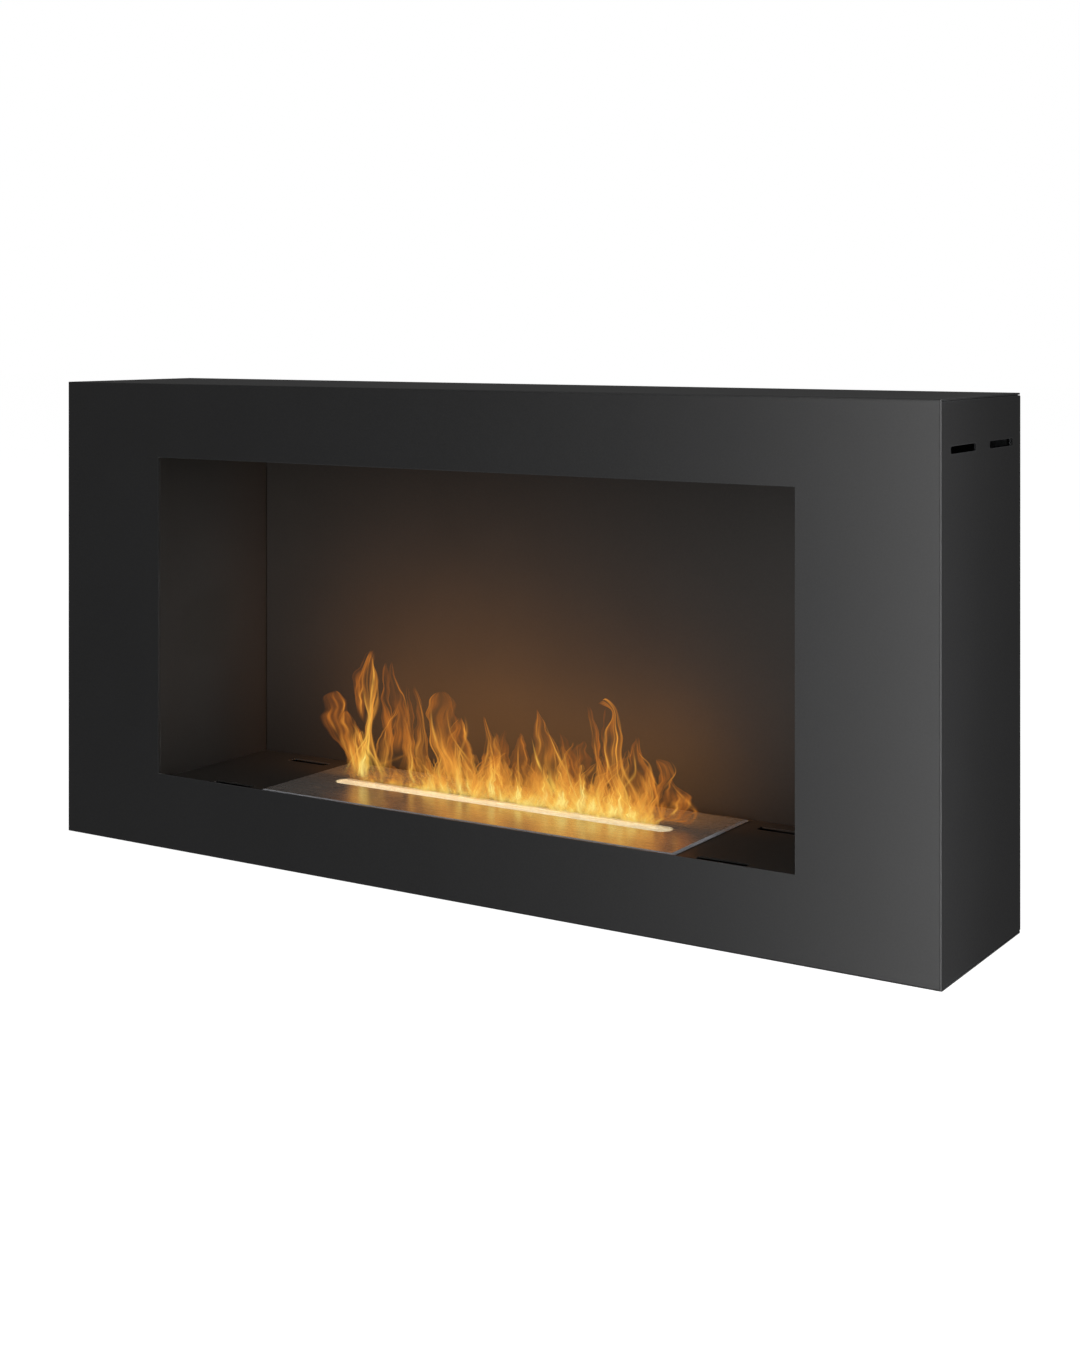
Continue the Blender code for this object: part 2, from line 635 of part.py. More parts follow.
def make_rivets():
    grip = -(2 * LINER_SHEET + 3 * FIT) / MM
    profile = [(0, 1.5), (1.5, 1.3), (2.7, 0.7), (3.1, 0), (1.5, 0), (1.5, grip), (2.3, grip),
               (2.3, grip - 1.4), (1.5, grip - 2), (0, grip - 2)]
    first = turned("back_rivet_1", [(r * MM, z * MM) for r, z in profile], 12, ZINC)
    apply_modifiers(first)
    places = [(sign * RIVET_X, BACK_REAR_Y + FIT, z) for sign in (-1, 1) for z in RIVET_LEVELS]
    point_backwards(first, places[0])
    for number, place in enumerate(places[1:], 2):
        repeat(first, "back_rivet_%d" % number, place)


make_case()
make_side_walls()
make_back_wall()
make_roof()
make_floor()
make_supports()
make_burner_plate()
make_tank()
make_wool()
make_rear_panel()
make_hanger()
make_wall_bracket()
make_bumpers()
make_screws()
make_nuts()
make_rivets()
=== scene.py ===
"""The looks of the wall-hung bio-ethanol fireplace: materials, ceramic wool, flames, lights and camera."""
import json
import math
import random

import bmesh
import bpy
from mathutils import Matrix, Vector, noise


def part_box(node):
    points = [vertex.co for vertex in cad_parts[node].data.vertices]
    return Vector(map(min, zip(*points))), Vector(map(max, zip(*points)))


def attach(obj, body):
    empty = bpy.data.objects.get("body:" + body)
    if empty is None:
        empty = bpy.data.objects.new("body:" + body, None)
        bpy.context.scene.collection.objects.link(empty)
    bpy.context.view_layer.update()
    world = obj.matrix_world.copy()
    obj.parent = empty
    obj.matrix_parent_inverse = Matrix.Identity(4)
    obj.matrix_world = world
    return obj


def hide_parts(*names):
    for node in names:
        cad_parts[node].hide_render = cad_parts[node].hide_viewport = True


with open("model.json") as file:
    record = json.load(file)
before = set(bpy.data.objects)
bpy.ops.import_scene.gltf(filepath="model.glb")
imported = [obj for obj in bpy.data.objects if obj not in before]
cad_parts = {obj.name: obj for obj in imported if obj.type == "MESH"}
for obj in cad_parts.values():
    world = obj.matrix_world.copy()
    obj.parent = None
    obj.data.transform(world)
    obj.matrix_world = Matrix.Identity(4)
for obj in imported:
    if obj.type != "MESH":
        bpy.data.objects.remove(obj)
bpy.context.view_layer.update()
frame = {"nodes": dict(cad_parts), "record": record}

MM = 0.001


# ---------------------------------------------------------------- node helpers

class Nodes:
    """A short way to write a material's nodes: each call adds one node and returns its output."""

    def __init__(self, name):
        self.material = bpy.data.materials.new(name)
        self.material.use_nodes = True
        self.tree = self.material.node_tree
        self.tree.nodes.clear()
        self.output = self.add("ShaderNodeOutputMaterial")

    def add(self, kind, **settings):
        node = self.tree.nodes.new(kind)
        for key, value in settings.items():
            setattr(node, key, value)
        return node

    def put(self, value, socket):
        if isinstance(value, bpy.types.NodeSocket):
            self.tree.links.new(value, socket)
        else:
            socket.default_value = value

    def coordinates(self, scale=(1, 1, 1)):
        """Object coordinates, which are the frame's own metres, stretched by scale."""
        place = self.add("ShaderNodeTexCoord").outputs["Object"]
        mapping = self.add("ShaderNodeMapping")
        mapping.inputs["Scale"].default_value = scale
        self.put(place, mapping.inputs["Vector"])
        return mapping.outputs["Vector"]

    def noise(self, vector, scale, detail=2.0, roughness=0.5, distortion=0.0):
        node = self.add("ShaderNodeTexNoise")
        self.put(vector, node.inputs["Vector"])
        node.inputs["Scale"].default_value = scale
        node.inputs["Detail"].default_value = detail
        node.inputs["Roughness"].default_value = roughness
        node.inputs["Distortion"].default_value = distortion
        return node.outputs["Fac"]

    def math(self, operation, a, b=0.0, clamp=False):
        node = self.add("ShaderNodeMath", operation=operation, use_clamp=clamp)
        self.put(a, node.inputs[0])
        self.put(b, node.inputs[1])
        return node.outputs[0]

    def remap(self, value, low, high, to_low, to_high):
        node = self.add("ShaderNodeMapRange", clamp=True)
        for socket, number in zip(node.inputs[1:5], (low, high, to_low, to_high)):
            socket.default_value = number
        self.put(value, node.inputs[0])
        return node.outputs[0]

    def mix(self, factor, a, b, blend="MIX"):
        node = self.add("ShaderNodeMix", data_type="RGBA", blend_type=blend)
        self.put(factor, node.inputs["Factor"])
        self.put(a, node.inputs[6])
        self.put(b, node.inputs[7])
        return node.outputs[2]

    def grey(self, value):
        node = self.add("ShaderNodeCombineColor")
        for socket in node.inputs:
            self.put(value, socket)
        return node.outputs[0]

    def bump(self, height, strength, distance):
        node = self.add("ShaderNodeBump")
        node.inputs["Strength"].default_value = strength
        node.inputs["Distance"].default_value = distance
        self.put(height, node.inputs["Height"])
        return node.outputs["Normal"]

    def edges(self, radius):
        """1 at sharp edges and 0 on flat faces, from the normal rounded over radius."""
        rounded = self.add("ShaderNodeBevel", samples=6)
        rounded.inputs["Radius"].default_value = radius
        flat = self.add("ShaderNodeNewGeometry").outputs["Normal"]
        dot = self.add("ShaderNodeVectorMath", operation="DOT_PRODUCT")
        self.put(rounded.outputs["Normal"], dot.inputs[0])
        self.put(flat, dot.inputs[1])
        return self.remap(dot.outputs["Value"], 0.75, 0.98, 1.0, 0.0)

    def principled(self, **inputs):
        shader = self.add("ShaderNodeBsdfPrincipled")
        for key, value in inputs.items():
            self.put(value, shader.inputs[key.replace("_", " ")])
        self.put(shader.outputs["BSDF"], self.output.inputs["Surface"])
        return self.material


# ---------------------------------------------------------------- materials

def powder_coat(name, colour, roughness, specular, grain):
    """Baked-on powder paint: a fine orange-peel grain, faint mottling, slightly polished edges and a painted
    highlight along the edges.
    """
    n = Nodes(name)
    place = n.coordinates()
    peel = n.noise(place, 1150, detail=3, roughness=0.6)
    speck = n.noise(place, 620, detail=2)
    mottle = n.noise(place, 14, detail=3)
    edge = n.edges(1.2 * MM)
    shade = n.math("ADD", n.remap(speck, 0.3, 0.7, 1 - grain, 1 + grain),
                   n.remap(mottle, 0.3, 0.7, -0.05, 0.05))
    base = n.mix(1.0, (*colour, 1), n.grey(shade), "MULTIPLY")
    # painted highlight: the colour is lightened towards a pale grey along sharp edges
    painted_edge_highlight = n.mix(n.math("MULTIPLY", edge, 0.35), base, (0.11, 0.115, 0.12, 1))
    rough = n.math("ADD", n.remap(peel, 0.3, 0.7, roughness - 0.05, roughness + 0.05),
                   n.math("MULTIPLY", edge, -0.12))
    return n.principled(Base_Color=painted_edge_highlight, Roughness=rough, Specular_IOR_Level=specular,
                        Normal=n.bump(peel, 0.25, 0.12 * MM))


def brushed_steel(name, colour, roughness, along):
    """Steel brushed along one axis, in height, roughness and colour, with a painted highlight along sharp
    edges; upward bevels are ground dull.
    """
    n = Nodes(name)
    stretch = [1.0, 1.0, 1.0]
    stretch[along] = 0.02
    place = n.coordinates(stretch)
    scratch = n.noise(place, 2600, detail=3, roughness=0.65)
    band = n.noise(place, 260, detail=2)
    cloud = n.noise(n.coordinates(), 16, detail=3)
    edge = n.edges(1.4 * MM)
    tone = n.math("ADD", n.remap(scratch, 0.3, 0.7, 0.90, 1.08), n.remap(band, 0.35, 0.65, -0.05, 0.05))
    base = n.mix(1.0, (*colour, 1), n.grey(tone), "MULTIPLY")
    rough = n.math("ADD", n.remap(scratch, 0.3, 0.7, roughness - 0.06, roughness + 0.06),
                   n.remap(cloud, 0.3, 0.7, -0.015, 0.02))
    # painted highlight: the colour is lightened towards pale steel along sharp edges
    bright = n.mix(n.math("MULTIPLY", edge, 0.4), base, (0.75, 0.75, 0.76, 1))
    facing = n.add("ShaderNodeSeparateXYZ")
    n.put(n.add("ShaderNodeNewGeometry").outputs["True Normal"], facing.inputs[0])
    upward = facing.outputs["Z"]
    ground = n.math("MULTIPLY", n.remap(upward, 0.60, 0.75, 0, 1), n.remap(upward, 0.92, 0.99, 1, 0))
    shown = n.mix(ground, bright, (0.46, 0.47, 0.50, 1))
    metal = n.remap(ground, 0, 1, 0.88, 0.15)
    return n.principled(Base_Color=shown, Metallic=metal, Roughness=rough, Anisotropic=0.5,
                        Normal=n.bump(scratch, 0.12, 0.05 * MM))


def galvanised(name):
    """Zinc-coated sheet: crystal spangle that varies in tone and gloss."""
    n = Nodes(name)
    place = n.coordinates()
    cell = n.add("ShaderNodeTexVoronoi")
    n.put(place, cell.inputs["Vector"])
    cell.inputs["Scale"].default_value = 150
    crystal = n.add("ShaderNodeSeparateColor")
    n.put(cell.outputs["Color"], crystal.inputs[0])
    bloom = n.noise(place, 40, detail=4)
    tone = n.math("MULTIPLY", n.remap(crystal.outputs[0], 0, 1, 0.82, 1.12),
                  n.remap(bloom, 0.3, 0.7, 0.9, 1.06))
    base = n.mix(1.0, (0.40, 0.42, 0.44, 1), n.grey(tone), "MULTIPLY")
    rough = n.remap(crystal.outputs[1], 0, 1, 0.36, 0.54)
    return n.principled(Base_Color=base, Metallic=1.0, Roughness=rough,
                        Normal=n.bump(n.noise(place, 900, detail=2), 0.1, 0.05 * MM))


def zinc_plate(name):
    """Small plated fasteners: a warm satin zinc with handling marks."""
    n = Nodes(name)
    place = n.coordinates()
    cloud = n.noise(place, 420, detail=4, roughness=0.6)
    fine = n.noise(place, 3200, detail=2)
    edge = n.edges(0.3 * MM)
    base = n.mix(n.remap(cloud, 0.3, 0.7, 0, 1), (0.50, 0.50, 0.47, 1), (0.66, 0.65, 0.60, 1))
    lit = n.mix(n.math("MULTIPLY", edge, 0.5), base, (0.82, 0.82, 0.80, 1))
    return n.principled(Base_Color=lit, Metallic=1.0, Roughness=n.remap(cloud, 0.3, 0.7, 0.26, 0.42),
                        Normal=n.bump(fine, 0.1, 0.04 * MM))


def rubber(name):
    n = Nodes(name)
    place = n.coordinates()
    grain = n.noise(place, 1500, detail=3)
    dust = n.noise(place, 130, detail=3)
    base = n.mix(n.remap(dust, 0.45, 0.75, 0, 0.5), (0.016, 0.016, 0.017, 1), (0.05, 0.048, 0.045, 1))
    return n.principled(Base_Color=base, Roughness=n.remap(grain, 0.3, 0.7, 0.72, 0.88),
                        Normal=n.bump(grain, 0.35, 0.12 * MM))


def wool(name, glow):
    """Ceramic wool: long pale fibres with darker gaps, with a painted glow: an emission that stands in for
    the flames' light on it.
    """
    n = Nodes(name)
    fibres = n.noise(n.coordinates((0.10, 1, 1)), 1500, detail=4, roughness=0.7, distortion=0.4)
    tufts = n.noise(n.coordinates((0.4, 1, 1)), 190, detail=3)
    pale = n.mix(n.remap(fibres, 0.32, 0.62, 0, 1), (0.58, 0.46, 0.29, 1), (0.86, 0.81, 0.64, 1))
    base = n.mix(n.remap(tufts, 0.35, 0.7, 0, 0.5), pale, (0.92, 0.89, 0.76, 1))
    light = n.mix(n.remap(fibres, 0.30, 0.60, 0, 1), (0.78, 0.55, 0.26, 1), (0.98, 0.88, 0.56, 1))
    # painted light: the emission paints the flames' light onto the wool
    return n.principled(Base_Color=base, Roughness=n.remap(tufts, 0.3, 0.7, 0.85, 0.98),
                        Normal=n.bump(fibres, 0.6, 0.4 * MM), Emission_Color=light, Emission_Strength=glow)


def fire(name):
    """A luminous film: the mesh's fire attribute holds its heat, its cover and its place across the flow."""
    n = Nodes(name)
    source = n.add("ShaderNodeAttribute", attribute_name="fire")
    split = n.add("ShaderNodeSeparateColor")
    n.put(source.outputs["Color"], split.inputs[0])
    heat, cover = split.outputs[0], split.outputs[1]
    ramp = n.add("ShaderNodeValToRGB")
    stops = ramp.color_ramp.elements
    stops[0].color = (0.32, 0.092, 0.020, 1)
    stops[1].color = (1.0, 0.78, 0.22, 1)
    stops.new(0.3).color = (0.58, 0.18, 0.026, 1)
    stops.new(0.6).color = (0.88, 0.37, 0.055, 1)
    stops.new(0.85).color = (1.0, 0.60, 0.10, 1)
    n.put(heat, ramp.inputs[0])
    flow = n.add("ShaderNodeCombineXYZ")
    height = n.add("ShaderNodeSeparateXYZ")
    n.put(n.coordinates(), height.inputs[0])
    n.put(n.math("MULTIPLY", split.outputs[2], 9.0), flow.inputs[0])
    n.put(n.math("MULTIPLY", height.outputs[2], 34.0), flow.inputs[2])
    wisp = n.noise(flow.outputs[0], 1.0, detail=4, roughness=0.6, distortion=0.5)
    opacity = n.math("MULTIPLY", cover, n.remap(wisp, 0.3, 0.7, 0.40, 1.45), clamp=True)
    glow = n.add("ShaderNodeEmission")
    n.put(ramp.outputs["Color"], glow.inputs["Color"])
    glow.inputs["Strength"].default_value = 1.0
    clear = n.add("ShaderNodeBsdfTransparent")
    blend = n.add("ShaderNodeMixShader")
    n.put(opacity, blend.inputs[0])
    n.put(clear.outputs[0], blend.inputs[1])
    n.put(glow.outputs[0], blend.inputs[2])
    n.put(blend.outputs[0], n.output.inputs["Surface"])
    return n.material


def plain_floor(name):
    """Near-white paper that glows a little, so that it stays as pale as the backdrop far from the lights."""
    n = Nodes(name)
    cloud = n.noise(n.coordinates(), 3, detail=2)
    return n.principled(Base_Color=n.mix(cloud, (0.40, 0.40, 0.40, 1), (0.42, 0.42, 0.42, 1)), Roughness=0.9,
                        Specular_IOR_Level=0.1, Emission_Color=(1, 1, 1, 1), Emission_Strength=0.95)


FINISHES = {
    "case_black": powder_coat("case powder coat", (0.0120, 0.0120, 0.0124), 0.36, 0.5, 0.17),
    "liner_black": powder_coat("liner paint", (0.0205, 0.0186, 0.0168), 0.50, 0.24, 0.06),
    "brushed_stainless": brushed_steel("brushed stainless", (0.74, 0.72, 0.69), 0.26, 0),
    "galvanised_steel": galvanised("galvanised sheet"),
    "zinc_fastener": zinc_plate("zinc plate"),
    "ceramic_wool": wool("ceramic wool bed", 0.0),
    "rubber": rubber("bumper rubber"),
}


# The firebox floor has a smoother coat of the walls' paint, painted lighter and warmer as painted light from
# the fire; the tank's steel is a much darker copy of the stainless, painted shade
OWN_FINISHES = {
    # painted light: the floor's paint is lighter and warmer than the walls' for the fire's light on it
    "firebox_floor": powder_coat("floor paint", (0.033, 0.0295, 0.0265), 0.34, 0.45, 0.10),
    # painted shade: the tank's steel is a much darker copy of the brushed stainless
    "burner_tank": brushed_steel("tank steel", (0.15, 0.142, 0.135), 0.42, 0),
}


def finish_cad_nodes():
    slots = {row["node"]: row["material_slot"] for row in frame["record"]["subparts"]}
    for node, part in frame["nodes"].items():
        part.data.materials.clear()
        part.data.materials.append(OWN_FINISHES.get(node, FINISHES[slots[node]]))


# ---------------------------------------------------------------- pieces

def new_piece(name, bm, material, body):
    mesh = bpy.data.meshes.new(name)
    bm.to_mesh(mesh)
    bm.free()
    mesh.materials.append(material)
    mesh.shade_smooth()
    piece = bpy.data.objects.new(name, mesh)
    bpy.context.scene.collection.objects.link(piece)
    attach(piece, body)
    return piece


def smooth_step(low, high, value):
    t = min(max((value - low) / (high - low), 0), 1)
    return t * t * (3 - 2 * t)


# ---------------------------------------------------------------- ceramic wool

def wool_outline(node, stations, end):
    """Half-widths along X of a strip that is round at its left end (-1) or its right end (1) only."""
    low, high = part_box(node)
    radius = (high.y - low.y) / 2
    middle_y = (high.y + low.y) / 2
    tip, root = (high.x, low.x) if end > 0 else (low.x, high.x)
    centre = tip - end * radius
    rows = []
    for i in range(stations + 1):
        t = i / stations
        x = root + (tip - root) * (1 - (1 - t) ** 1.5)
        past = max(0.0, (x - centre) * end)
        rows.append((x, math.sqrt(max(radius * radius - past * past, 0.0))))
    return rows, middle_y


def wool_height(x, y):
    """Felted surface: long low ridges that run with the fibres, and small tufts."""
    ridges = noise.noise(Vector((x * 60, y * 900, 3.1)))
    threads = noise.noise(Vector((x * 190, y * 2600, 8.7)))
    tufts = noise.noise(Vector((x * 420, y * 420, 5.4)))
    return (0.22 * ridges + 0.15 * threads + 0.13 * tufts) * MM


def wool_strip(name, node, end, stations):
    """A felt strip packed in the slot: crowned top with rolled edges, straight sides and a flat underside."""
    low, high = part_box(node)
    rows, middle_y = wool_outline(node, stations, end)
    across = 14
    bm = bmesh.new()
    grid = []
    for x, half in rows:
        half = max(half, 0.15 * MM)
        line = []
        for j in range(across + 1):
            v = -1 + 2 * j / across
            y = middle_y + half * v
            roll = 1.1 * MM * abs(v) ** 6
            top = high.z - 0.45 * MM - roll + wool_height(x, y) * (1 - abs(v) ** 6)
            line.append(bm.verts.new((x, y, min(top, high.z))))
        grid.append(line)
    for a, b in zip(grid, grid[1:]):
        for j in range(across):
            bm.faces.new((a[j], b[j], b[j + 1], a[j + 1]))
    near = [line[0] for line in grid]
    far = [line[-1] for line in reversed(grid)]
    rim = near + grid[-1][1:-1] + far + grid[0][-2:0:-1]
    foot = [bm.verts.new((v.co.x, v.co.y, low.z)) for v in rim]
    for i, vert in enumerate(rim):
        after = (i + 1) % len(rim)
        bm.faces.new((vert, foot[i], foot[after], rim[after]))
    bm.faces.new(foot)
    bmesh.ops.recalc_face_normals(bm, faces=bm.faces)
    piece = new_piece(name, bm, PAINTED_GLOW_WOOL, "burner")
    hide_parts(node)


def loose_fibres(name, count, draws):
    """Fine ceramic fibres that lie along the top of the strips, each a thin strand with a slight wave."""
    strands = []
    for node, share in (("wool_strip_short", 0.06), ("wool_strip_long", 0.94)):
        low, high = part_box(node)
        for _ in range(round(count * share)):
            span = high.x - low.x - 6 * MM
            length = min(draws.uniform(6, 22) * MM, span)
            start = low.x + 3 * MM + draws.random() * (span - length)
            y = (low.y + high.y) / 2 + draws.uniform(-0.72, 0.72) * (high.y - low.y) / 2
            strands.append((start, y, length, draws.uniform(-0.12, 0.12), draws.uniform(0, 9), high.z))
    curve = bpy.data.curves.new(name, "CURVE")
    curve.dimensions = "3D"
    curve.bevel_depth = 0.09 * MM
    curve.bevel_resolution = 1
    curve.use_fill_caps = True
    for start, y, length, slope, phase, top in strands:
        spline = curve.splines.new("POLY")
        spline.points.add(8)
        for i, point in enumerate(spline.points):
            t = i / 8
            sway = 0.35 * MM * math.sin(phase + 5 * t)
            lift = -0.42 * MM + 0.22 * MM * math.sin(math.pi * t)
            point.co = (start + length * t, y + slope * length * t * 0.4 + sway, top + lift, 1)
    piece = bpy.data.objects.new(name, curve)
    bpy.context.scene.collection.objects.link(piece)
    curve.materials.append(PAINTED_GLOW_WOOL)
    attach(piece, "burner")


# ---------------------------------------------------------------- flames

def smooth_curve(points, steps):
    """Points at nearly even steps along a smooth curve through the given ones, in order."""
    lengths = [0.0]
    for a, b in zip(points, points[1:]):
        lengths.append(lengths[-1] + math.dist(a, b))
    curve = []
    for i in range(steps + 1):
        reach = lengths[-1] * i / steps
        k = max(1, next((n for n, far in enumerate(lengths) if far >= reach), len(points) - 1))
        t = min((reach - lengths[k - 1]) / (lengths[k] - lengths[k - 1]), 1)
        around = [min(max(n, 0), len(points) - 1) for n in (k - 2, k - 1, k, k + 1)]
        before, a, b, after = (Vector(points[n]) for n in around)
        curve.append(0.5 * (2 * a + (b - before) * t + (2 * before - 5 * a + 4 * b - after) * t * t
                            + (3 * a - before - 3 * b + after) * t ** 3))
    return curve


def wander(seed, t, rate):
    """A smooth random value between -1 and 1 that changes along t."""
    return noise.noise(Vector((seed * 7.31, t * rate, seed * 1.7)))


def veil(sheet, left, right, depth, heat, cover, rims, seed, root_cover=0.05, across=30, along=64):
    """Adds one flame tongue: a curved film between two edges of (X, Z) millimetres, root to tip."""
    bm, layer = sheet
    rows = []
    for i, (a, b) in enumerate(zip(smooth_curve(left, along), smooth_curve(right, along))):
        t = i / along
        half = (b - a).length / 2
        row = []
        for j in range(across + 1):
            u = -1 + 2 * j / across
            place = a.lerp(b, (u + 1) / 2)
            bulge = (0.5 * half + 1.5) * math.sin(1.9 * u + 5 * wander(seed, t, 1.6))
            flutter = 0.8 * wander(seed + 3, t, 6 + u)
            swing = 2.6 * wander(seed + 5, t, 8) + 2.2 * u * wander(seed + 6, t, 11)
            x = place.x + smooth_step(0.0, 0.3, t) * swing
            y = FLAME_Y + (depth + bulge * t + flutter) * MM
            row.append(bm.verts.new((x * MM, y, max(place.y * MM, FLAME_FOOT))))
            row[-1][layer] = film(u, t, heat, cover, rims, seed, root_cover)
        rows.append(row)
    for a, b in zip(rows, rows[1:]):
        for j in range(across):
            bm.faces.new((a[j], a[j + 1], b[j + 1], b[j]))


def film(u, t, heat, cover, rims, seed, root_cover):
    """Heat, cover and grain at a place on a tongue: u runs across it, -1 to 1, and t from root to tip."""
    rim = sum(rims[k] * math.exp(-((u - side * 0.86) / 0.09) ** 2) for k, side in enumerate((-1, 1)))
    streaks = 0.0
    for k in range(4):
        line = (-0.75 + 0.5 * k) * (0.6 + 0.4 * t) + 0.8 * wander(seed + 11 * k, t, 2.2)
        thin = 0.06 + 0.09 * (0.5 + wander(seed + 4 * k, t, 3.0))
        bright = max(0.0, 0.35 + 1.3 * wander(seed + 9 * k + 2, t, 3.0))
        streaks += bright * math.exp(-((u - line) / thin) ** 2)
    haze = 0.52 + 1.15 * noise.noise(Vector((u * 1.4 + seed, t * 3.6, seed * 0.6)))
    soft = 0.5 - 0.4 * rims[u > 0]
    edge = smooth_step(1.0, 1.0 - max(soft, 0.08), abs(u))
    root = root_cover + (1 - root_cover) * smooth_step(0.0, 0.24, t)
    tip = 1 - smooth_step(0.92, 1.0, t)
    fade = 1 - 0.25 * smooth_step(0.4, 1.0, t)
    core = math.exp(-(u / 0.55) ** 2) * (1 - smooth_step(0.1, 0.75, t))
    body = 0.70 * max(haze, 0) + 0.9 * rim + 0.75 * streaks + 0.45 * core
    amount = cover * body * edge * root * tip * fade
    warm = heat * (1.05 - 0.55 * t) + 0.26 * streaks + 0.18 * rim + 0.22 * core - 0.06
    return Vector((min(max(warm, 0), 1), min(max(amount, 0), 0.95), 0.5 * u + seed, 1))


def filament(sheet, points, width, heat, cover, seed, depth=0.0, along=56):
    """Adds a thin bright thread of flame along a smooth curve, (X, Z) in millimetres."""
    bm, layer = sheet
    across = 8
    path = smooth_curve(points, along)
    rows = []
    for i, centre in enumerate(path):
        t = i / along
        run = (path[min(i + 1, along)] - path[max(i - 1, 0)]).normalized()
        swell = (0.4 + 1.2 * (0.5 + wander(seed, t, 4))) * (1 - 0.5 * t)
        side = Vector((run.y, -run.x)) * 1.7 * width * swell
        ends = smooth_step(0, 0.22, t) * (1 - smooth_step(0.68, 1.0, t))
        pulse = 0.6 + 0.9 * wander(seed + 8, t, 5)
        row = []
        for j in range(across + 1):
            u = -1 + 2 * j / across
            place = centre + side * u
            y = FLAME_Y + (depth + 1.5 * wander(seed + 2, t, 2)) * MM
            row.append(bm.verts.new((place.x * MM, y, max(place.y * MM, FLAME_FOOT))))
            glow = math.exp(-(u / 0.36) ** 2) - math.exp(-(1 / 0.36) ** 2)
            warm = min(heat * (0.8 + 0.3 * glow) * (1.08 - 0.3 * t), 1)
            amount = min(max(cover * glow * ends * pulse, 0), 0.95)
            row[-1][layer] = Vector((warm, amount, 0.1 * u + seed, 1))
        rows.append(row)
    for a, b in zip(rows, rows[1:]):
        for j in range(across):
            bm.faces.new((a[j], a[j + 1], b[j + 1], b[j]))


def new_sheet():
    bm = bmesh.new()
    return bm, bm.verts.layers.float_color.new("fire")


def finish_sheet(name, sheet):
    piece = new_piece(name, sheet[0], FIRE, "burner")
    piece.data.color_attributes.active_color = piece.data.color_attributes["fire"]
    piece.visible_shadow = False


# Tall tongues, in millimetres: left edge, right edge, depth behind the middle of the flames, then heat, cover
# and how bright the left and the right rim are
LEFT_TONGUES = (
    (((-172, 69), (-180, 92), (-194, 104), (-211, 118), (-203, 131), (-202, 141), (-194, 148)),
     ((-156, 69), (-166, 90), (-172, 105), (-175, 121), (-178, 137), (-185, 145), (-194, 148)),
     4, 0.2, 0.42, (0.4, 0.2)),
    (((-170, 69), (-174, 86), (-174, 100), (-183, 112), (-185, 121), (-174, 132)),
     ((-146, 69), (-152, 91), (-155, 103), (-156, 115), (-163, 124), (-174, 132)), -2, 0.5, 0.55, (0.3, 0.5)),
    (((-174, 69), (-168, 88), (-157, 106), (-153, 124), (-155, 142), (-158, 158), (-153, 172), (-145, 191)),
     ((-130, 69), (-140, 94), (-145, 114), (-143, 135), (-137, 154), (-140, 167), (-144, 178), (-145, 191)),
     0, 0.62, 0.6, (0.7, 0.8)),
    (((-164, 128), (-167, 144), (-168, 165), (-158, 177), (-153, 186), (-145, 191)),
     ((-154, 120), (-153, 138), (-156, 156), (-152, 172), (-147, 182), (-145, 191)), 2, 0.14, 0.46, (0.5, 0)),
    (((-143, 88), (-136, 115), (-139, 146), (-138, 164), (-133, 180)),
     ((-122, 88), (-124, 116), (-127, 148), (-128, 166), (-133, 180)), 5, 0.26, 0.52, (0.2, 0.3)),
    (((-130, 96), (-124, 125), (-126, 148), (-127, 169), (-124, 182)),
     ((-102, 96), (-106, 133), (-109, 149), (-114, 157), (-121, 170), (-124, 182)),
     3, 0.16, 0.36, (0.1, 0.3)),
    (((-144, 80), (-140, 98), (-130, 120), (-113, 144)),
     ((-118, 80), (-121, 100), (-119, 120), (-113, 144)), -1, 0.42, 0.5, (0.6, 0.4)),
    (((-118, 78), (-112, 102), (-107, 125), (-106, 145), (-106, 161)),
     ((-86, 69), (-94, 92), (-99, 115), (-100, 135), (-103, 150), (-106, 161)), 2, 0.38, 0.46, (0.5, 0.6)),
    (((-92, 72), (-99, 108), (-93, 125), (-93, 146), (-96, 162)),
     ((-72, 72), (-80, 112), (-85, 133), (-88, 151), (-96, 162)), -2, 0.34, 0.42, (0.3, 0.6)),
    (((-62, 69), (-70, 92), (-78, 116), (-81, 140), (-76, 153), (-66, 160)),
     ((-34, 69), (-44, 92), (-52, 113), (-54, 132), (-54, 149), (-59, 157), (-66, 160)),
     0, 0.50, 0.5, (0.8, 0.4)),
    (((-66, 110), (-58, 128), (-60, 146), (-66, 160)),
     ((-46, 110), (-46, 128), (-49, 141), (-56, 154), (-66, 160)), 3, 0.06, 0.26, (0.1, 0.2)),
    (((-60, 69), (-61, 104), (-56, 126), (-43, 139)),
     ((-20, 69), (-27, 98), (-33, 116), (-38, 126), (-40, 134), (-43, 139)), -3, 0.46, 0.48, (0.2, 0.9)),
)
